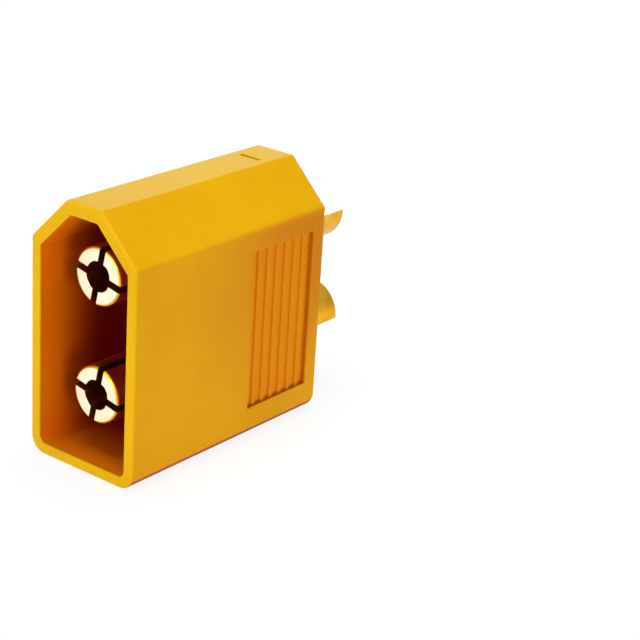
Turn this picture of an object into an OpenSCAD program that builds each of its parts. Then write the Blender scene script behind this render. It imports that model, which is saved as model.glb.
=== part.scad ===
// Polarised two-pole power connector, the half with the shroud.
// One moulded housing holds two turned contacts: a split pin towards the mating
// face, a collar that the moulding grips, and a solder cup behind the back face.
// X runs through the thickness, the mating face looks towards -Y, and the flat
// narrow end stands on Z = 0 with the bevelled narrow end up.

/* [Housing] */
// Length from the mating rim to the back face
housing_length = 16.5; // [15:0.1:24]
// Thickness between the broad sides
housing_thickness = 8.1; // [7.8:0.1:11]
// Height from the flat end to the bevelled end
housing_height = 16; // [15.6:0.1:20]
// Leg of the bevels that polarise the upper end
bevel = 2.7; // [1.5:0.1:3]
// Radius of the two corners at the flat end
corner_r = 1.05; // [0.5:0.05:1.6]

/* [Socket] */
// Depth of the socket around the pins
socket_depth = 8.5; // [6:0.1:9]
// Wall between the socket and each broad side
side_wall = 0.7; // [0.5:0.05:1.1]
// Wall between the socket and the flat end
flat_end_wall = 0.7; // [0.5:0.05:1.2]
// Wall between the socket and the bevelled end, its bevels included
bevel_wall = 0.8; // [0.5:0.05:1.2]
// Radius of the two socket corners at the flat end
socket_corner_r = 0.45; // [0.2:0.05:1]

/* [Rear wells] */
// Diameter of the well around each solder cup
well_d = 6.1; // [5.4:0.1:6.6]
// Depth of the wells
well_depth = 3.5; // [1:0.1:4.5]

/* [Contacts] */
// Distance between the axes of the two contacts
contact_pitch = 7.2; // [7:0.1:8]
// Diameter of the pins
pin_d = 3.5; // [3:0.1:4]
// Distance of the pin tips behind the mating rim
pin_recess = 1.2; // [0.5:0.1:2]
// Radius of the rounded pin nose
nose_r = 0.15; // [0.1:0.05:0.6]
// Diameter of the hole along the pin
pin_hole_d = 1.8; // [1:0.1:2]
// Depth of the hole along the pin
pin_hole_depth = 6.2; // [4:0.1:7]
// Number of slots, and so of spring fingers
slot_count = 4; // [3:1:6]
// Width of each slot
slot_width = 0.45; // [0.2:0.05:0.6]
// Length of each slot, from the pin tip
slot_length = 5.6; // [3:0.1:6.5]
// Turn of the slots about the pin, clockwise from the front
slot_turn = 12; // [0:1:45]
// Diameter of the shank that fills the housing in front of the collar
shank_d = 4; // [3.6:0.1:4.4]
// Diameter of the collar inside the housing
collar_d = 5; // [4.6:0.1:6]
// Width of the collar inside the housing
collar_width = 1.2; // [0.6:0.1:2]
// Clearance between a contact and the housing that grips it
seat_gap = 0.02; // [0.01:0.01:0.1]

/* [Solder cups] */
// Outer diameter of the cups
cup_d = 4.2; // [3.8:0.1:4.5]
// Diameter of the hole for the wire
cup_hole_d = 3.3; // [2.6:0.1:3.5]
// Depth of the wire hole, from the end of the closed ring
cup_hole_depth = 4.6; // [2:0.1:5]
// Reach of the closed ring behind the back face
ring_reach = 0.5; // [0.2:0.1:1.5]
// Reach of the half-round tongue behind the back face
tongue_reach = 4.4; // [3:0.1:6]
// Height that the tongue keeps past its half circle
tongue_lip = 0.1; // [0:0.05:0.4]
// Radius that the milling cutter leaves between ring and tongue
cutter_r = 1.2; // [0.4:0.1:1.8]

/* [Side panels] */
// Width of the sunk panel on each broad side
panel_width = 5.5; // [4:0.1:6.5]
// Height of the sunk panels
panel_height = 10; // [6:0.1:10.5]
// Depth of the sunk panels
panel_depth = 0.3; // [0.1:0.05:0.4]
// Distance of the panels from the back face
panel_inset = 1.05; // [0.6:0.05:2]
// Distance of the panels from the flat end
panel_foot = 2; // [1.7:0.1:2.6]
// Distance between the ribs in the panel on the +X side
rib_pitch = 0.82; // [0.6:0.02:1.2]
// Width of each rib
rib_width = 0.36; // [0.2:0.02:0.5]
// Height of each rib above the panel's floor
rib_height = 0.14; // [0.05:0.01:0.2]

/* [Polarity marks] */
// Length of the strokes of the minus and plus marks
mark_length = 1.5; // [0.8:0.1:2]
// Width of the strokes
mark_width = 0.28; // [0.15:0.01:0.5]
// Depth of the strokes
mark_depth = 0.15; // [0.05:0.01:0.3]
// Distance of the marks from the back face
mark_inset = 2.5; // [1.5:0.1:5]

/* [Hidden] */
$fn = 96;

pin_r = pin_d / 2;
shank_r = shank_d / 2;
collar_r = collar_d / 2;
cup_r = cup_d / 2;

// Stations along Y, with the origin halfway between rim and tongue ends
rim_y = -(housing_length + tongue_reach) / 2;
back_y = rim_y + housing_length;
tongue_end_y = back_y + tongue_reach;
ring_end_y = back_y + ring_reach;
tip_y = rim_y + pin_recess;
web_front_y = rim_y + socket_depth;
web_back_y = back_y - well_depth;
collar_front_y = (web_front_y + web_back_y - collar_width) / 2;
collar_back_y = collar_front_y + collar_width;

lower_axis_z = (housing_height - contact_pitch) / 2;
upper_axis_z = (housing_height + contact_pitch) / 2;

// Height of the point of a drilled hole of radius r, for a 118 degree drill
function drill_point(r) = r / tan(59);
// Extra length of a cutting shape past the face that it opens
past = 1;

// Outline across the thickness (x) and height (y): bevelled at the top and
// rounded at the foot, with each bevel given by the sum of x and y along it
module end_outline(half_width, foot, top, bevel_sum, foot_r) {
    polygon([
        [-half_width + foot_r, foot], [half_width - foot_r, foot],
        [half_width, foot + foot_r], [half_width, bevel_sum - half_width],
        [bevel_sum - top, top], [top - bevel_sum, top],
        [-half_width, bevel_sum - half_width], [-half_width, foot + foot_r]
    ]);
    for (side = [-1, 1])
        translate([side * (half_width - foot_r), foot + foot_r]) circle(foot_r);
}

// Prism of an outline in X and Z, from one station along Y to another
module prism_y(from_y, to_y) {
    translate([0, to_y, 0]) rotate([90, 0, 0]) linear_extrude(to_y - from_y) children();
}

// Solid of revolution about Y, from an outline of radius and station
module turned() {
    rotate([-90, 0, 0]) rotate_extrude() children();
}

// Cylinder along Y from one station to another
module rod_y(r, from_y, to_y) {
    translate([0, from_y, 0]) rotate([-90, 0, 0]) cylinder(h = to_y - from_y, r = r);
}

// Drilled hole whose mouth is at mouth_y and whose full depth runs along dir
module drilled_y(r, mouth_y, depth, dir) {
    far_y = mouth_y + dir * depth;
    rod_y(r, min(mouth_y - dir * past, far_y), max(mouth_y - dir * past, far_y));
    translate([0, far_y, 0]) rotate([-90 * dir, 0, 0])
        cylinder(h = drill_point(r), r1 = r, r2 = 0);
}

// Radius and station of a contact's outside, grown by gap where it is held
module contact_outline(gap) {
    polygon([
        [0, tip_y], [pin_r - nose_r, tip_y], [pin_r, tip_y + nose_r], [pin_r, web_front_y],
        [shank_r + gap, web_front_y],
        [shank_r + gap, collar_front_y - gap], [collar_r + gap, collar_front_y - gap],
        [collar_r + gap, collar_back_y + gap], [cup_r + gap, collar_back_y + gap],
        [cup_r + gap, tongue_end_y], [0, tongue_end_y]
    ]);
}

// Everything milled away above the tongue, as a side view extruded through X
module cup_cutter() {
    run = tongue_end_y + past - ring_end_y;
    rise = cup_r + past;
    translate([-cup_r - past, ring_end_y, tongue_lip])
        rotate([90, 0, 90]) linear_extrude(2 * (cup_r + past)) {
            translate([cutter_r, 0]) square([run - cutter_r, rise]);
            translate([0, cutter_r]) square([run, rise - cutter_r]);
            translate([cutter_r, cutter_r]) circle(cutter_r);
        }
}

// Turned body with its slots, which leave its +X side in the middle of a finger
module slotted_body() {
    difference() {
        turned() {
            contact_outline(0);
            translate([pin_r - nose_r, tip_y + nose_r]) circle(nose_r);
        }
        for (i = [0 : slot_count - 1])
            rotate([0, (i + 0.5) * 360 / slot_count, 0])
                translate([0, tip_y - past, -slot_width / 2])
                    cube([pin_r + past, slot_length + past, slot_width]);
    }
}

// One contact on the Y axis, with its solder cup open towards +Z
module contact() {
    difference() {
        rotate([0, slot_turn - 180 / slot_count, 0]) slotted_body();
        drilled_y(pin_hole_d / 2, tip_y, pin_hole_depth, 1);
        drilled_y(cup_hole_d / 2, tongue_end_y, tongue_reach - ring_reach + cup_hole_depth, -1);
        cup_cutter();
    }
}

// Sunk panel against the +X side, less its ribs
module panel_cut(ribbed) {
    panel_y = back_y - panel_inset - panel_width;
    floor_x = housing_thickness / 2 - panel_depth;
    rib_gaps = floor(panel_width / rib_pitch);
    first_y = panel_y + (panel_width - (rib_gaps - 1) * rib_pitch) / 2;
    difference() {
        translate([floor_x, panel_y, panel_foot])
            cube([panel_depth + past, panel_width, panel_height]);
        if (ribbed)
            for (i = [0 : rib_gaps - 1])
                translate([floor_x - past, first_y + i * rib_pitch - rib_width / 2, panel_foot - past])
                    cube([rib_height + past, rib_width, panel_height + 2 * past]);
    }
}

// One engraved stroke, centred on its own middle and cut to mark_depth each way
module stroke(turn) {
    rotate([0, 0, turn]) cube([mark_length, mark_width, 2 * mark_depth], center = true);
}

module housing() {
    bevel_sum = housing_thickness / 2 + housing_height - bevel;
    color("goldenrod") difference() {
        prism_y(rim_y, back_y)
            end_outline(housing_thickness / 2, 0, housing_height, bevel_sum, corner_r);
        prism_y(rim_y - past, web_front_y)
            end_outline(housing_thickness / 2 - side_wall, flat_end_wall,
                        housing_height - bevel_wall, bevel_sum - bevel_wall * sqrt(2),
                        socket_corner_r);
        for (axis_z = [lower_axis_z, upper_axis_z])
            translate([0, 0, axis_z]) {
                rod_y(well_d / 2, web_back_y, back_y + past);
                turned() contact_outline(seat_gap);
            }
        panel_cut(true);
        mirror([1, 0, 0]) panel_cut(false);
        translate([0, back_y - mark_inset, housing_height]) stroke(0);
        translate([0, back_y - mark_inset, 0]) {
            stroke(0);
            stroke(90);
        }
    }
}

// Upper contact, its cup open towards the bevelled end
module negative_contact() {
    color("gold") translate([0, 0, upper_axis_z]) contact();
}

// Lower contact, its cup open towards the flat end
module positive_contact() {
    color("gold") translate([0, 0, lower_axis_z]) rotate([0, 180, 0]) contact();
}

housing();
negative_contact();
positive_contact();
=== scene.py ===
"""Moulded and plated finish of a polarised power connector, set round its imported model.

Lengths are in metres in the frame's own axes: X through the housing's thickness,
the mating face towards -Y, and the flat narrow end on Z = 0.
"""
import math

import bmesh
import bpy
from mathutils import Matrix, Vector


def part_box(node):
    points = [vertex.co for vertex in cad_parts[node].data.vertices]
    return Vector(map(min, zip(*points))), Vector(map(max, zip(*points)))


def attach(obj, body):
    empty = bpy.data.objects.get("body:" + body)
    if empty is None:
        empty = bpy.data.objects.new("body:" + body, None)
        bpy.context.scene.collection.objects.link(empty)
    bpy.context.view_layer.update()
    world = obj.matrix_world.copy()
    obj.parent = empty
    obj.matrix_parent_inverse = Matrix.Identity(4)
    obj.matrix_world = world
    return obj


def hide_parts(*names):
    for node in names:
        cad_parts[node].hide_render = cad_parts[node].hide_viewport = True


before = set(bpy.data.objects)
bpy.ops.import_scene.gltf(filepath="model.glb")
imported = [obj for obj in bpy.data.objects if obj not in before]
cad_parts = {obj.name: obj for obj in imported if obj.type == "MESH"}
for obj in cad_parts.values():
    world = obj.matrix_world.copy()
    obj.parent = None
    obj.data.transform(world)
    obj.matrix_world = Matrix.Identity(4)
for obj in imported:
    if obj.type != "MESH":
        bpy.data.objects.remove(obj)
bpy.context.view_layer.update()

MM = 0.001
TOUCH = 0.002 * MM

# Outside of the housing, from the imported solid
HOUSING_LOW, HOUSING_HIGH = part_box("housing")
SIDE_X = HOUSING_HIGH.x
RIM_Y = HOUSING_LOW.y
BACK_Y = HOUSING_HIGH.y
TOP_Z = HOUSING_HIGH.z
BEVEL = 2.7 * MM
CORNER_R = 1.05 * MM

# Socket around the pins
SOCKET_DEPTH = 8.5 * MM
SIDE_WALL = 0.7 * MM
BEVEL_WALL = 0.8 * MM
SOCKET_CORNER_R = 0.45 * MM

# Wells around the solder cups
WELL_R = 3.05 * MM
WELL_DEPTH = 3.5 * MM

# Sunk panels of the broad sides
PANEL_WIDTH = 5.5 * MM
PANEL_HEIGHT = 10 * MM
PANEL_DEPTH = 0.3 * MM
PANEL_INSET = 1.05 * MM
PANEL_FOOT = 2 * MM
RIB_PITCH = 0.82 * MM
RIB_WIDTH = 0.36 * MM
RIB_HEIGHT = 0.14 * MM
RIB_COUNT = 6

# Polarity marks, engraved into the two narrow ends
MARK_LENGTH = 1.5 * MM
MARK_WIDTH = 0.28 * MM
MARK_DEPTH = 0.15 * MM
MARK_INSET = 2.5 * MM

# Small bump left by the mould, in the edge between one bevel and the ribbed side
NIB_R = 0.14 * MM
NIB_PLACE = Vector((3.97, -4.95, 13.25)) * MM

# Contacts, each about its own axis along Y, the lower one first
AXIS_Z = (4.4 * MM, 11.6 * MM)
PIN_R = 1.75 * MM
PIN_TIP_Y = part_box("negative_contact")[0].y
TONGUE_END_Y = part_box("negative_contact")[1].y
NOSE_R = 0.15 * MM
PIN_HOLE_R = 0.9 * MM
PIN_HOLE_DEPTH = 6.2 * MM
SLOT_WIDTH = 0.45 * MM
SLOT_LENGTH = 5.6 * MM
SLOT_TURN = math.radians(12)
SHANK_R = 2 * MM
COLLAR_R = 2.5 * MM
COLLAR_WIDTH = 1.2 * MM
CUP_R = 2.1 * MM
CUP_HOLE_R = 1.65 * MM
CUP_HOLE_DEPTH = 4.6 * MM
RING_REACH = 0.5 * MM
TONGUE_LIP = 0.1 * MM
CUTTER_R = 1.2 * MM
SEAT_GAP = 0.02 * MM
DRILL_HALF_ANGLE = math.radians(59)
# Radius left at a drill's point, as a share of the drill's own
DRILL_TIP_SHARE = 0.02

# Stations along Y
WEB_FRONT_Y = RIM_Y + SOCKET_DEPTH
WEB_BACK_Y = BACK_Y - WELL_DEPTH
COLLAR_FRONT_Y = (WEB_FRONT_Y + WEB_BACK_Y - COLLAR_WIDTH) / 2
COLLAR_BACK_Y = COLLAR_FRONT_Y + COLLAR_WIDTH
RING_END_Y = BACK_Y + RING_REACH
PANEL_END_Y = BACK_Y - PANEL_INSET
PANEL_Y = PANEL_END_Y - PANEL_WIDTH
PANEL_TOP_Z = PANEL_FOOT + PANEL_HEIGHT

# Sides of the turned shapes. With 60 on the contacts, no wall of a slot meets one of their corners
CONTACT_SIDES = 60
SEAT_SIDES = 96
# Flat steps that make up the rounded nose, the corners at the foot and the cutter's round
NOSE_STEPS = 6
CORNER_STEPS = 8
CUTTER_STEPS = 10

# How far a cutting shape runs past the face that it opens
PAST = 1 * MM
# Points nearer to each other than this are one point
ONE_POINT = 0.0005 * MM
# Least angle between two faces whose edge gets a rounding, and least angle that still shades as an edge
SHARP = math.radians(28)
SHADED_EDGE = math.radians(35)
# Widths of the roundings on the outline, round the openings, in the relief and on the contacts
WIDEST_ROUNDING = 0.18 * MM
MOUTH_ROUNDING = 0.1 * MM
RELIEF_ROUNDING = 0.05 * MM
CONTACT_ROUNDING = 0.04 * MM
# Least length of the edges that meet at the ends of a contact's rounding
CONTACT_ROOM = 0.06 * MM
HOUSING_ROUNDING_STEPS = 3
CONTACT_ROUNDING_STEPS = 2


def near(a, b):
    return abs(a - b) < TOUCH


def between(low, value, high):
    return low - TOUCH < value < high + TOUCH


def make_active(piece):
    bpy.ops.object.select_all(action="DESELECT")
    piece.select_set(True)
    bpy.context.view_layer.objects.active = piece


def start_editing(piece):
    make_active(piece)
    bpy.ops.object.mode_set(mode="EDIT")


def stop_editing():
    bpy.ops.object.mode_set(mode="OBJECT")


def new_piece(name):
    """Names the primitive just added and puts its place into its mesh."""
    piece = bpy.context.object
    piece.name = name
    piece.data.name = name
    make_active(piece)
    bpy.ops.object.transform_apply(location=True, rotation=True, scale=True)
    return piece


def add_box(name, low, high):
    """A box between two corners, as a start for shaping or cutting."""
    low, high = Vector(low), Vector(high)
    bpy.ops.object.select_all(action="DESELECT")
    bpy.ops.mesh.primitive_cube_add(size=1, location=(low + high) / 2, scale=high - low)
    return new_piece(name)


def pick(kind, test):
    """Selects the edit mesh's edges or faces whose points all pass a test, and nothing else."""
    bpy.ops.mesh.select_mode(type={"edges": "EDGE", "faces": "FACE"}[kind])
    bpy.ops.mesh.select_all(action="DESELECT")
    mesh = bmesh.from_edit_mesh(bpy.context.object.data)
    for element in getattr(mesh, kind):
        if all(test(v.co) for v in element.verts):
            element.select_set(True)
    mesh.select_flush_mode()
    bmesh.update_edit_mesh(bpy.context.object.data)


def bisect(test, place, normal):
    """Cuts the faces whose points pass a test along a plane."""
    pick("faces", test)
    bpy.ops.mesh.bisect(plane_co=place, plane_no=normal)


def push(move):
    """Extrudes the selected faces by a vector."""
    bpy.ops.mesh.extrude_region_move(TRANSFORM_OT_translate={"value": move})


def resize(factors, centre):
    bpy.ops.transform.resize(value=factors, center_override=centre)


def face_outwards(piece):
    """Merges doubled points, then points every face away from the inside."""
    start_editing(piece)
    bpy.ops.mesh.select_all(action="SELECT")
    bpy.ops.mesh.remove_doubles(threshold=ONE_POINT)
    bpy.ops.mesh.normals_make_consistent(inside=False)
    stop_editing()


def wear(piece, material):
    piece.data.materials.clear()
    piece.data.materials.append(material)


def wear_at(piece, material, test):
    """Gives another finish to the faces whose points pass a test."""
    if material.name not in piece.data.materials:
        piece.data.materials.append(material)
    start_editing(piece)
    pick("faces", test)
    piece.active_material_index = piece.data.materials.find(material.name)
    bpy.ops.object.material_slot_assign()
    stop_editing()


def combine(piece, other, operation):
    """Joins a second shape to a piece or cuts it out. The new faces keep that shape's finish."""
    make_active(piece)
    tool = piece.modifiers.new("combination", "BOOLEAN")
    tool.operation = operation
    tool.solver = "EXACT"
    tool.material_mode = "TRANSFER"
    tool.object = other
    bpy.ops.object.modifier_apply(modifier=tool.name)
    bpy.data.objects.remove(other)


def carve(piece, cutter):
    combine(piece, cutter, "DIFFERENCE")


def round_edges(piece, segments, width_at, room=0):
    """Rounds the sharp edges, each by the width that its two ends have in common. An edge that
    meets one shorter than the room stays sharp, because a rounding would fold over there."""
    mesh = bmesh.new()
    mesh.from_mesh(piece.data)
    weights = mesh.edges.layers.float.new("bevel_weight_edge")
    for edge in mesh.edges:
        shortest = min(e.calc_length() for v in edge.verts for e in v.link_edges)
        if edge.calc_face_angle(0) > SHARP and shortest > room:
            edge[weights] = min(width_at(v.co) for v in edge.verts) / WIDEST_ROUNDING
    mesh.to_mesh(piece.data)
    mesh.free()
    make_active(piece)
    rounding = piece.modifiers.new("rounding", "BEVEL")
    rounding.limit_method = "WEIGHT"
    rounding.width = WIDEST_ROUNDING
    rounding.segments = segments
    rounding.use_clamp_overlap = False
    bpy.ops.object.modifier_apply(modifier=rounding.name)


def smooth_faces(piece):
    """Shades curved faces smoothly and keeps the flat ones flat. The mesh is in millimetres
    meanwhile, because faces of a few square micrometres count as nothing in the weighting."""
    piece.data.transform(Matrix.Scale(1 / MM, 4))
    make_active(piece)
    bpy.ops.object.shade_smooth_by_angle(angle=SHADED_EDGE)
    weights = piece.modifiers.new("weights", "WEIGHTED_NORMAL")
    weights.keep_sharp = True
    bpy.ops.object.modifier_apply(modifier=weights.name)
    piece.data.transform(Matrix.Scale(MM, 4))


def turned(name, stations, axis_z, sides, turn=0):
    """A closed body of revolution about a line along Y, through stations of place and radius. Its
    first corner points straight up, or is moved round from there by the turn."""
    (first_y, first_r), *rest = stations
    bpy.ops.object.select_all(action="DESELECT")
    bpy.ops.mesh.primitive_circle_add(
        vertices=sides, radius=first_r, fill_type="NGON",
        location=(0, first_y, axis_z), rotation=(math.pi / 2, turn, 0))
    body = new_piece(name)
    start_editing(body)
    bpy.ops.mesh.select_all(action="SELECT")
    y, r = first_y, first_r
    for next_y, next_r in rest:
        push((0, next_y - y, 0))
        resize((next_r / r, 1, next_r / r), (0, next_y, axis_z))
        y, r = next_y, next_r
    stop_editing()
    face_outwards(body)
    return body


def drill(name, r, mouth_y, depth, way, axis_z, turn):
    """A drill's shape: a cylinder from past the mouth to its full depth, and the point beyond."""
    full_y = mouth_y + way * depth
    point_y = full_y + way * r / math.tan(DRILL_HALF_ANGLE)
    stations = [(mouth_y - way * PAST, r), (full_y, r), (point_y, r * DRILL_TIP_SHARE)]
    return turned(name, stations, axis_z, CONTACT_SIDES, turn)


def moulded_prism(name, half_width, foot, top, bevel, foot_r, start_y, end_y):
    """A prism along Y, bevelled at its two upper corners and rounded at its two lower ones."""
    prism = add_box(name, (-half_width, start_y, foot), (half_width, end_y, top))
    start_editing(prism)
    for side in (-1, 1):
        pick("edges", lambda p: near(p.x, side * half_width) and near(p.z, top))
        bpy.ops.mesh.bevel(offset=bevel, segments=1, affect="EDGES")
        pick("edges", lambda p: near(p.x, side * half_width) and near(p.z, foot))
        bpy.ops.mesh.bevel(offset=foot_r, segments=CORNER_STEPS, affect="EDGES")
    stop_editing()
    return prism


def socket_cutter():
    """The space round the pins, one wall's thickness inside the moulding."""
    half_width = SIDE_X - SIDE_WALL
    top = TOP_Z - BEVEL_WALL
    bevel = half_width + top - (SIDE_X + TOP_Z - BEVEL - BEVEL_WALL * math.sqrt(2))
    return moulded_prism("socket_cutter", half_width, SIDE_WALL, top, bevel,
                         SOCKET_CORNER_R, RIM_Y - PAST, WEB_FRONT_Y)


def in_panel_outline(p):
    return between(PANEL_Y, p.y, PANEL_END_Y) and between(PANEL_FOOT, p.z, PANEL_TOP_Z)


def sink_panel(block, side, ribbed):
    """Sinks the panel of one broad side, with grooves that leave ribs standing if it is ribbed."""
    first_depth = PANEL_DEPTH - RIB_HEIGHT if ribbed else PANEL_DEPTH

    def on_flank(p):
        return near(p.x, side * SIDE_X)

    start_editing(block)
    for y in (PANEL_Y, PANEL_END_Y):
        bisect(on_flank, (0, y, 0), (0, 1, 0))
    for z in (PANEL_FOOT, PANEL_TOP_Z):
        bisect(on_flank, (0, 0, z), (0, 0, 1))
    pick("faces", lambda p: on_flank(p) and in_panel_outline(p))
    push((-side * first_depth, 0, 0))
    if ribbed:
        sink_grooves(side, side * (SIDE_X - first_depth))
    stop_editing()


def sink_grooves(side, ground_x):
    """Sinks what lies between the ribs from the panel's first floor to its full depth."""
    first_y = PANEL_Y + (PANEL_WIDTH - (RIB_COUNT - 1) * RIB_PITCH) / 2
    edges = [PANEL_Y]
    for i in range(RIB_COUNT):
        for reach in (-RIB_WIDTH / 2, RIB_WIDTH / 2):
            edges.append(first_y + i * RIB_PITCH + reach)
            bisect(lambda p: near(p.x, ground_x), (0, edges[-1], 0), (0, 1, 0))
    edges.append(PANEL_END_Y)
    for start_y, end_y in zip(edges[::2], edges[1::2]):
        pick("faces", lambda p: near(p.x, ground_x) and between(start_y, p.y, end_y))
        push((-side * RIB_HEIGHT, 0, 0))


def in_relief(p):
    """Whether a point belongs to a sunk panel or to an engraved mark."""
    in_panel = in_panel_outline(p) and abs(p.x) > SIDE_X - PANEL_DEPTH - TOUCH
    half = MARK_LENGTH / 2 + TOUCH
    in_mark = (abs(p.x) < half and abs(p.y - BACK_Y + MARK_INSET) < half
               and (p.z < MARK_DEPTH + TOUCH or p.z > TOP_Z - MARK_DEPTH - TOUCH))
    return in_panel or in_mark


def on_outline(p):
    """Whether a point lies on the outer sides, bevels or ends of the housing."""
    below_bevel = SIDE_X + TOP_Z - BEVEL - abs(p.x) - p.z
    from_corner = Vector((abs(p.x) - SIDE_X + CORNER_R, p.z - CORNER_R))
    in_corner = from_corner.x > 0 > from_corner.y and from_corner.length > 0.9 * CORNER_R
    return (near(abs(p.x), SIDE_X) or near(p.z, 0) or near(p.z, TOP_Z)
            or near(below_bevel, 0) or in_corner)


def housing_rounding(p):
    """Width of the rounding that the housing's edges get at a point."""
    nearest_axis = min(math.hypot(p.x, p.z - axis_z) for axis_z in AXIS_Z)
    gripping = between(WEB_FRONT_Y, p.y, WEB_BACK_Y) and nearest_axis < COLLAR_R + SEAT_GAP + TOUCH
    if gripping:
        return 0
    if in_relief(p):
        return RELIEF_ROUNDING
    return WIDEST_ROUNDING if on_outline(p) else MOUTH_ROUNDING


def contact_seat(axis_z):
    """The space that a contact takes up in the housing, from the socket's floor to the well."""
    stations = [
        (WEB_FRONT_Y - PAST, SHANK_R + SEAT_GAP),
        (COLLAR_FRONT_Y - SEAT_GAP, SHANK_R + SEAT_GAP),
        (COLLAR_FRONT_Y - SEAT_GAP, COLLAR_R + SEAT_GAP),
        (COLLAR_BACK_Y + SEAT_GAP, COLLAR_R + SEAT_GAP),
        (COLLAR_BACK_Y + SEAT_GAP, CUP_R + SEAT_GAP),
        (WEB_BACK_Y, CUP_R + SEAT_GAP),
        (WEB_BACK_Y, WELL_R),
        (BACK_Y + PAST, WELL_R),
    ]
    return turned("seat_cutter", stations, axis_z, SEAT_SIDES)


def engrave(block, end_z, along_x, along_y):
    """Cuts one stroke of a polarity mark into a narrow end."""
    middle = Vector((0, BACK_Y - MARK_INSET, end_z))
    half = Vector((along_x / 2, along_y / 2, MARK_DEPTH))
    carve(block, add_box("stroke", middle - half, middle + half))


def add_nib(shell):
    """The small bump that the mould leaves on one edge of the housing."""
    bpy.ops.object.select_all(action="DESELECT")
    bpy.ops.mesh.primitive_uv_sphere_add(segments=16, ring_count=8, radius=NIB_R, location=NIB_PLACE)
    combine(shell, new_piece("nib"), "UNION")


def housing():
    shell = moulded_prism("housing_shell", SIDE_X, 0, TOP_Z, BEVEL, CORNER_R, RIM_Y, BACK_Y)
    sink_panel(shell, 1, True)
    sink_panel(shell, -1, False)
    carve(shell, socket_cutter())
    for axis_z in AXIS_Z:
        carve(shell, contact_seat(axis_z))
    engrave(shell, TOP_Z, MARK_LENGTH, MARK_WIDTH)
    engrave(shell, 0, MARK_LENGTH, MARK_WIDTH)
    engrave(shell, 0, MARK_WIDTH, MARK_LENGTH)
    face_outwards(shell)
    round_edges(shell, HOUSING_ROUNDING_STEPS, housing_rounding)
    add_nib(shell)
    smooth_faces(shell)
    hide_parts("housing")
    return shell


def cup_cutter(axis_z):
    """What is milled away above the tongue, with the cutter's own radius left at the ring."""
    low = (-CUP_R - PAST, RING_END_Y, axis_z + TONGUE_LIP)
    high = (CUP_R + PAST, TONGUE_END_Y + PAST, axis_z + CUP_R + PAST)
    cutter = add_box("cup_cutter", low, high)
    start_editing(cutter)
    pick("edges", lambda p: near(p.y, low[1]) and near(p.z, low[2]))
    bpy.ops.mesh.bevel(offset=CUTTER_R, segments=CUTTER_STEPS, affect="EDGES")
    stop_editing()
    return cutter


def slot_cutter(turn, axis_z):
    """A saw cut through the whole pin, which makes two opposite slots."""
    low = (-PIN_R - PAST, PIN_TIP_Y - PAST, axis_z - SLOT_WIDTH / 2)
    high = (PIN_R + PAST, PIN_TIP_Y + SLOT_LENGTH, axis_z + SLOT_WIDTH / 2)
    cutter = add_box("slot_cutter", low, high)
    cutter.data.transform(Matrix.Translation((0, 0, axis_z))
                          @ Matrix.Rotation(turn, 4, "Y")
                          @ Matrix.Translation((0, 0, -axis_z)))
    return cutter


def nose_stations():
    """Stations along the rounded nose of a pin, from its tip back."""
    stations = []
    for i in range(NOSE_STEPS + 1):
        a = math.pi / 2 * i / NOSE_STEPS
        stations.append((PIN_TIP_Y + NOSE_R * (1 - math.cos(a)), PIN_R - NOSE_R * (1 - math.sin(a))))
    return stations


def contact(turned_finish, cut_highlight_finish, cup_shade_finish, bore_shade_finish):
    """The upper contact, its cup open towards the bevelled end. Each cutter leaves its finish. The
    ends and the cup's cut get a pale gold that is a painted highlight, and the holes, slots and cup
    inside get darker golds that are painted shade.
    """
    axis_z = AXIS_Z[1]
    stations = nose_stations() + [
        (WEB_FRONT_Y, PIN_R), (WEB_FRONT_Y, SHANK_R),
        (COLLAR_FRONT_Y, SHANK_R), (COLLAR_FRONT_Y, COLLAR_R),
        (COLLAR_BACK_Y, COLLAR_R), (COLLAR_BACK_Y, CUP_R),
        (TONGUE_END_Y, CUP_R),
    ]
    body = turned("upper_contact", stations, axis_z, CONTACT_SIDES, SLOT_TURN)
    wear(body, turned_finish)
    wear_at(body, cut_highlight_finish, lambda p: near(p.y, PIN_TIP_Y))
    wear_at(body, cut_highlight_finish, lambda p: near(p.y, TONGUE_END_Y))
    cup_depth = TONGUE_END_Y - RING_END_Y + CUP_HOLE_DEPTH
    # The holes, the slots and the cup's inside get darker golds, which are painted shade
    cuts = [
        (drill("pin_drill", PIN_HOLE_R, PIN_TIP_Y, PIN_HOLE_DEPTH, 1, axis_z, SLOT_TURN),
         bore_shade_finish),
        (slot_cutter(SLOT_TURN, axis_z), bore_shade_finish),
        (slot_cutter(SLOT_TURN + math.pi / 2, axis_z), bore_shade_finish),
        (drill("cup_drill", CUP_HOLE_R, TONGUE_END_Y, cup_depth, -1, axis_z, 0), cup_shade_finish),
        (cup_cutter(axis_z), cut_highlight_finish),
    ]
    for cutter, finish in cuts:
        wear(cutter, finish)
        carve(body, cutter)
    face_outwards(body)
    round_edges(body, CONTACT_ROUNDING_STEPS, lambda p: CONTACT_ROUNDING, CONTACT_ROOM)
    smooth_faces(body)
    return body


def turned_over(piece, name):
    """A copy turned half round the Y axis, from the upper place to the lower one."""
    twin = piece.copy()
    twin.data = piece.data.copy()
    twin.name = name
    twin.data.name = name
    bpy.context.collection.objects.link(twin)
    upper, lower = AXIS_Z[1], AXIS_Z[0]
    twin.data.transform(Matrix.Translation((0, 0, lower))
                        @ Matrix.Rotation(math.pi, 4, "Y")
                        @ Matrix.Translation((0, 0, -upper)))
    return twin


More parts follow.
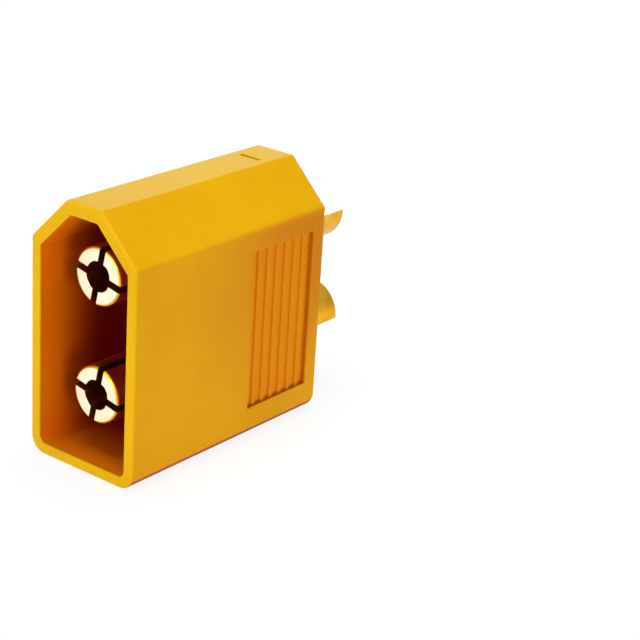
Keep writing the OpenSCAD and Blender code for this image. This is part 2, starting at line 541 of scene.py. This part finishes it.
class Signal:
    """A node's output in one material. Arithmetic on it adds the Math nodes that work it out."""

    def __init__(self, tree, socket):
        self.tree = tree
        self.socket = socket

    def math(self, operation, *others):
        return add_node(self.tree, "ShaderNodeMath", {"operation": operation}, self, *others)

    def __add__(self, other):
        return self.math("ADD", other)

    def __radd__(self, other):
        return self.math("ADD", other)

    def __sub__(self, other):
        return self.math("SUBTRACT", other)

    def __rsub__(self, other):
        return add_node(self.tree, "ShaderNodeMath", {"operation": "SUBTRACT"}, other, self)

    def __mul__(self, other):
        return self.math("MULTIPLY", other)

    def __rmul__(self, other):
        return self.math("MULTIPLY", other)

    def smooth(self, low, high):
        """0 below low, 1 above high, and a smooth step between them."""
        settings = {"interpolation_type": "SMOOTHSTEP"}
        return add_node(self.tree, "ShaderNodeMapRange", settings, self, low, high, 0.0, 1.0)

    def pick(self, name):
        """Another output of the same node."""
        return Signal(self.tree, self.socket.node.outputs[name])


def add_node(tree, kind, settings, *values, **named):
    """Adds a node, with its settings first and then its sockets in order or by name. Returns its
    first output in use, or the node itself if it has none."""
    node = tree.nodes.new(kind)
    for key, value in settings.items():
        setattr(node, key, value)
    open_inputs = [s for s in node.inputs if s.enabled]
    pairs = list(zip(open_inputs, values))
    pairs += [(next(s for s in open_inputs if s.name == key.replace("_", " ")), value)
              for key, value in named.items()]
    for socket, value in pairs:
        if isinstance(value, Signal):
            tree.links.new(value.socket, socket)
        else:
            socket.default_value = value
    outputs = [s for s in node.outputs if s.enabled]
    return Signal(tree, outputs[0]) if outputs else node


def new_material(name):
    material = bpy.data.materials.new(name)
    material.use_nodes = True
    material.node_tree.nodes.clear()
    return material, material.node_tree


def blend_colours(tree, factor, first, second):
    return add_node(tree, "ShaderNodeMix", {"data_type": "RGBA"}, factor, first, second)


# Tones of the nylon: over the whole piece, then by place, each laid over the one before. The tones by
# place are painted shade
NYLON_DULL = (0.82, 0.48, 0.003, 1)
NYLON_BRIGHT = (0.86, 0.52, 0.005, 1)
NYLON_FLANK_SHADE = (0.72, 0.30, 0.003, 1)
NYLON_SUNK_SHADE = (0.83, 0.35, 0.003, 1)
NYLON_CORNER_SHADE = (0.46, 0.11, 0.002, 1)
NYLON_INSIDE_SHADE = (0.94, 0.26, 0.002, 1)
NYLON_DEEP_SHADE = (0.34, 0.012, 0.001, 1)
# How far the painted shade in a sunk panel's corners reaches over its floor, and its strength at the
# walls
CORNER_SHADE_REACH = 0.28 * MM
CORNER_SHADE_AT_WALLS = 0.55
# Heights of the bump on the nylon: the mould's texture, and the slow waves of shrinking
GRAIN_HEIGHT = 0.0035 * MM
RIPPLE_HEIGHT = 0.02 * MM
# Height of the rings that the lathe's tool left on the contacts
RING_HEIGHT = 0.0012 * MM

# Golds of the contacts, each from its dull to its bright tone: as turned, as cut across, in the
# cups, and in the holes and slots of the pins. The pale gold of the cut faces is a painted highlight,
# and the darker golds of the cups, holes and slots are painted shade
TURNED_GOLD = ((0.76, 0.38, 0.010, 1), (0.86, 0.48, 0.025, 1))
CUT_GOLD_HIGHLIGHT = ((1.0, 0.88, 0.60, 1), (1.0, 0.94, 0.74, 1))
# The golds of the cups and of the holes and slots are painted shade
CUP_GOLD_SHADE = ((0.50, 0.22, 0.04, 1), (0.72, 0.42, 0.12, 1))
BORE_GOLD_SHADE = ((0.24, 0.06, 0.015, 1), (0.36, 0.11, 0.03, 1))


def below_outline(x, z):
    """How deep a point of the housing lies under its sides, its ends and its two bevels."""
    across = x.math("ABSOLUTE")
    below_bevel = (SIDE_X + TOP_Z - BEVEL - across - z) * math.sqrt(0.5)
    return (SIDE_X - across).math("MINIMUM", below_bevel).math("MINIMUM", z.math("MINIMUM", TOP_Z - z))


def panel_corner_shade(y, z):
    """Painted shade: 1 along the foot of the sunk panels, less along their front and back walls, 0
    elsewhere.
    """
    from_walls = (y - PANEL_Y).math("MINIMUM", PANEL_END_Y - y)
    at_walls = CORNER_SHADE_AT_WALLS - CORNER_SHADE_AT_WALLS * from_walls.smooth(0, CORNER_SHADE_REACH)
    at_foot = 1 - (z - PANEL_FOOT).smooth(0, CORNER_SHADE_REACH)
    return at_walls.math("MAXIMUM", at_foot)


def shade_on_ribbed_flank(x, y, z):
    """Painted shade: rises over the ribbed side towards its upper back corner, and is 0 on the other
    faces.
    """
    above_bevel_foot = z - (TOP_Z - BEVEL)
    outside = (x - SIDE_X).smooth(-0.75 * MM, -0.15 * MM)
    below_bevel = 1 - above_bevel_foot.smooth(-0.4 * MM, 0.3 * MM)
    return outside * below_bevel * y.smooth(-7 * MM, 4 * MM) * z.smooth(0, 10 * MM)


def moulded_nylon():
    """Satin golden nylon: a fine mould texture, slow waves and faint drift of the colour. Painted
    shade gives a deeper tone on part of one side, in the sunk panels and their corners, and inside and
    far down in the socket and wells."""
    material, tree = new_material("moulded_nylon")
    place = add_node(tree, "ShaderNodeTexCoord", {}).pick("Object")
    parts = add_node(tree, "ShaderNodeSeparateXYZ", {}, place)
    x, y, z = (parts.pick(axis) for axis in "XYZ")
    drift = add_node(tree, "ShaderNodeTexNoise", {}, Vector=place, Scale=160.0, Detail=3.0)
    grain = add_node(tree, "ShaderNodeTexNoise", {}, Vector=place, Scale=9000.0, Detail=2.0)
    ripple = add_node(tree, "ShaderNodeTexNoise", {}, Vector=place, Scale=420.0, Detail=2.0)
    under = below_outline(x, z)
    from_rim = y - RIM_Y
    from_back = BACK_Y - y
    opened = from_rim.math("MINIMUM", from_back).smooth(0.02 * MM, 0.3 * MM)
    # Painted shade over every surface sunk below the outline: the panels, the marks, the socket and the
    # wells
    sunk = under.smooth(0.05 * MM, 0.15 * MM) * opened
    # Painted shade, redder, on the inner walls of the socket and the wells
    inside = under.smooth(0.35 * MM, 0.65 * MM) * opened
    # Painted shade, dark, far down in the socket and the wells
    deep = inside * from_rim.smooth(0.2 * MM, 5.5 * MM) * from_back.smooth(0.3 * MM, 3 * MM)
    colour = blend_colours(tree, drift.smooth(0.35, 0.65), NYLON_DULL, NYLON_BRIGHT)
    # Painted shade, laid by place over the nylon's own colour
    places = [(shade_on_ribbed_flank(x, y, z), NYLON_FLANK_SHADE), (sunk, NYLON_SUNK_SHADE),
              (sunk * panel_corner_shade(y, z), NYLON_CORNER_SHADE), (inside, NYLON_INSIDE_SHADE),
              (deep, NYLON_DEEP_SHADE)]
    for mask, tone in places:
        colour = blend_colours(tree, mask, colour, tone)
    roughness = 0.40 + 0.1 * drift + 0.06 * grain
    height = grain * GRAIN_HEIGHT + ripple * RIPPLE_HEIGHT
    bump = add_node(tree, "ShaderNodeBump", {}, Strength=1.0, Distance=1.0, Height=height)
    shader = add_node(tree, "ShaderNodeBsdfPrincipled", {}, Base_Color=colour,
                      Roughness=roughness, Normal=bump, IOR=1.52, Specular_IOR_Level=0.08)
    add_node(tree, "ShaderNodeOutputMaterial", {}, shader)
    return material


def plated(name, tones, smoothest):
    """Gold plating over machined brass: cloudy in tone, with fine rings left by the tool."""
    material, tree = new_material(name)
    place = add_node(tree, "ShaderNodeTexCoord", {}).pick("Object")
    along = add_node(tree, "ShaderNodeSeparateXYZ", {}, place).pick("Y")
    cloud = add_node(tree, "ShaderNodeTexNoise", {}, Vector=place, Scale=900.0, Detail=3.0)
    rings = add_node(tree, "ShaderNodeTexNoise", {"noise_dimensions": "1D"}, W=along * 22000.0,
                     Scale=1.0, Detail=2.0)
    colour = blend_colours(tree, cloud.smooth(0.35, 0.7), *tones)
    roughness = smoothest + 0.1 * cloud + 0.06 * rings
    bump = add_node(tree, "ShaderNodeBump", {}, Strength=1.0, Distance=1.0,
                    Height=rings * RING_HEIGHT)
    shader = add_node(tree, "ShaderNodeBsdfPrincipled", {}, Base_Color=colour,
                      Metallic=1.0, Roughness=roughness, Normal=bump)
    add_node(tree, "ShaderNodeOutputMaterial", {}, shader)
    return material


# Camera: round from the front, above the horizon and rolled, as the photograph was taken
AZIMUTH = math.radians(36.70)
ELEVATION = math.radians(21.79)
ROLL = math.radians(3.775)
AIM = Vector((6.184, 3.300, 7.351)) * MM
DISTANCE = 107 * MM
LENS = 100.865

# Point that the lamps face, and their distance from it
OBJECT_MIDDLE = Vector((0, -2, 8)) * MM
LAMP_DISTANCE = 220 * MM
LAMP_WHITE = (1, 1, 0.98)

# Light that the surround gives: on the object, and on top of that in what it mirrors
SURROUND_LIGHT = 0.04
SURROUND_MIRRORED = 0.56

# Greys of the floor: for the light that it throws back, and where it is seen. There it also glows
# up to white, a little less near the object, where the lamps add the rest outside its shadow
FLOOR_GREY = (0.8, 0.8, 0.8, 1)
FLOOR_SEEN_GREY = (0.15, 0.15, 0.15, 1)
FLOOR_WIDTH = 4
GLOW_NEAR = 0.88
GLOW_FROM = 30 * MM
GLOW_WHITE_AT = 250 * MM


def add_camera():
    back = Vector((math.sin(AZIMUTH) * math.cos(ELEVATION),
                   -math.cos(AZIMUTH) * math.cos(ELEVATION), math.sin(ELEVATION)))
    level = Vector((math.cos(AZIMUTH), math.sin(AZIMUTH), 0))
    right = level * math.cos(ROLL) + back.cross(level) * math.sin(ROLL)
    up = back.cross(right)
    data = bpy.data.cameras.new("camera")
    data.lens = LENS
    data.sensor_width = 36
    data.clip_start = 1 * MM
    data.clip_end = 10
    camera = bpy.data.objects.new("camera", data)
    camera.matrix_world = Matrix.Translation(AIM + back * DISTANCE) @ Matrix(
        (right, up, back)).transposed().to_4x4()
    bpy.context.scene.collection.objects.link(camera)
    bpy.context.scene.camera = camera


def add_lamp(name, towards, size, level, colour):
    """A square soft lamp in a direction from the object. Its level is the brightness that it
    gives a white card that faces it."""
    way = Vector(towards).normalized()
    data = bpy.data.lights.new(name, "AREA")
    data.shape = "SQUARE"
    data.size = size
    data.energy = level * (math.pi * LAMP_DISTANCE) ** 2
    data.color = colour
    lamp = bpy.data.objects.new(name, data)
    lamp.matrix_world = (Matrix.Translation(OBJECT_MIDDLE + way * LAMP_DISTANCE)
                         @ way.to_track_quat("Z", "Y").to_matrix().to_4x4())
    bpy.context.scene.collection.objects.link(lamp)


def add_lights():
    """White lamps overhead, in front and behind, and two warm ones on the panel's side."""
    add_lamp("overhead", (-0.03, 0.02, 1), 120 * MM, 0.78, LAMP_WHITE)
    add_lamp("front", (-0.12, -0.98, 0.12), 110 * MM, 0.64, LAMP_WHITE)
    add_lamp("rear", (-0.555, 0.744, 0.371), 110 * MM, 0.16, LAMP_WHITE)
    add_lamp("side_front", (0.90, -0.42, 0.02), 80 * MM, 0.46, (1, 0.64, 0.30))
    add_lamp("side_rear", (0.92, 0.38, 0.04), 120 * MM, 0.28, (1, 0.62, 0.30))


def white_surround():
    """White where the camera looks, softer in reflections, and faint as light on the object."""
    world = bpy.data.worlds.new("surround")
    bpy.context.scene.world = world
    world.use_nodes = True
    tree = world.node_tree
    tree.nodes.clear()
    path = add_node(tree, "ShaderNodeLightPath", {})
    mirrored = path.pick("Is Glossy Ray").math("MAXIMUM", path.pick("Is Transmission Ray"))
    camera = path.pick("Is Camera Ray")
    strength = SURROUND_LIGHT + (1 - SURROUND_LIGHT) * camera + SURROUND_MIRRORED * mirrored
    sky = add_node(tree, "ShaderNodeBackground", {}, Color=(1, 1, 1, 1), Strength=strength)
    add_node(tree, "ShaderNodeOutputWorld", {}, sky)


def pale_floor():
    """A wide white floor that keeps the object's shadow, a faint one where the camera looks."""
    bpy.ops.object.select_all(action="DESELECT")
    bpy.ops.mesh.primitive_plane_add(size=FLOOR_WIDTH)
    floor = bpy.context.object
    floor.name = "floor"
    material, tree = new_material("floor_paper")
    path = add_node(tree, "ShaderNodeLightPath", {})
    seen = path.pick("Is Camera Ray").math("MAXIMUM", path.pick("Is Glossy Ray"))
    colour = blend_colours(tree, seen, FLOOR_GREY, FLOOR_SEEN_GREY)
    paper = add_node(tree, "ShaderNodeBsdfDiffuse", {}, Color=colour)
    place = add_node(tree, "ShaderNodeTexCoord", {}).pick("Object")
    away = add_node(tree, "ShaderNodeVectorMath", {"operation": "LENGTH"}, place)
    strength = seen * (GLOW_NEAR + (1 - GLOW_NEAR) * away.smooth(GLOW_FROM, GLOW_WHITE_AT))
    glow = add_node(tree, "ShaderNodeEmission", {}, Color=(1, 1, 1, 1), Strength=strength)
    both = add_node(tree, "ShaderNodeAddShader", {}, paper, glow)
    add_node(tree, "ShaderNodeOutputMaterial", {}, both)
    wear(floor, material)


bpy.context.scene.view_settings.view_transform = "Standard"
add_camera()
white_surround()
pale_floor()
add_lights()

shell = housing()
# The cut gold is a painted highlight, and the cup and bore golds are painted shade
upper = contact(plated("turned_gold", TURNED_GOLD, 0.22), plated("cut_gold_painted_highlight", CUT_GOLD_HIGHLIGHT, 0.28),
                plated("cup_gold_shade", CUP_GOLD_SHADE, 0.30), plated("bore_gold_shade", BORE_GOLD_SHADE, 0.40))
lower = turned_over(upper, "lower_contact")
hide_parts("negative_contact")
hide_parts("positive_contact")
wear(shell, moulded_nylon())
for piece in (shell, upper, lower):
    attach(piece, "root")
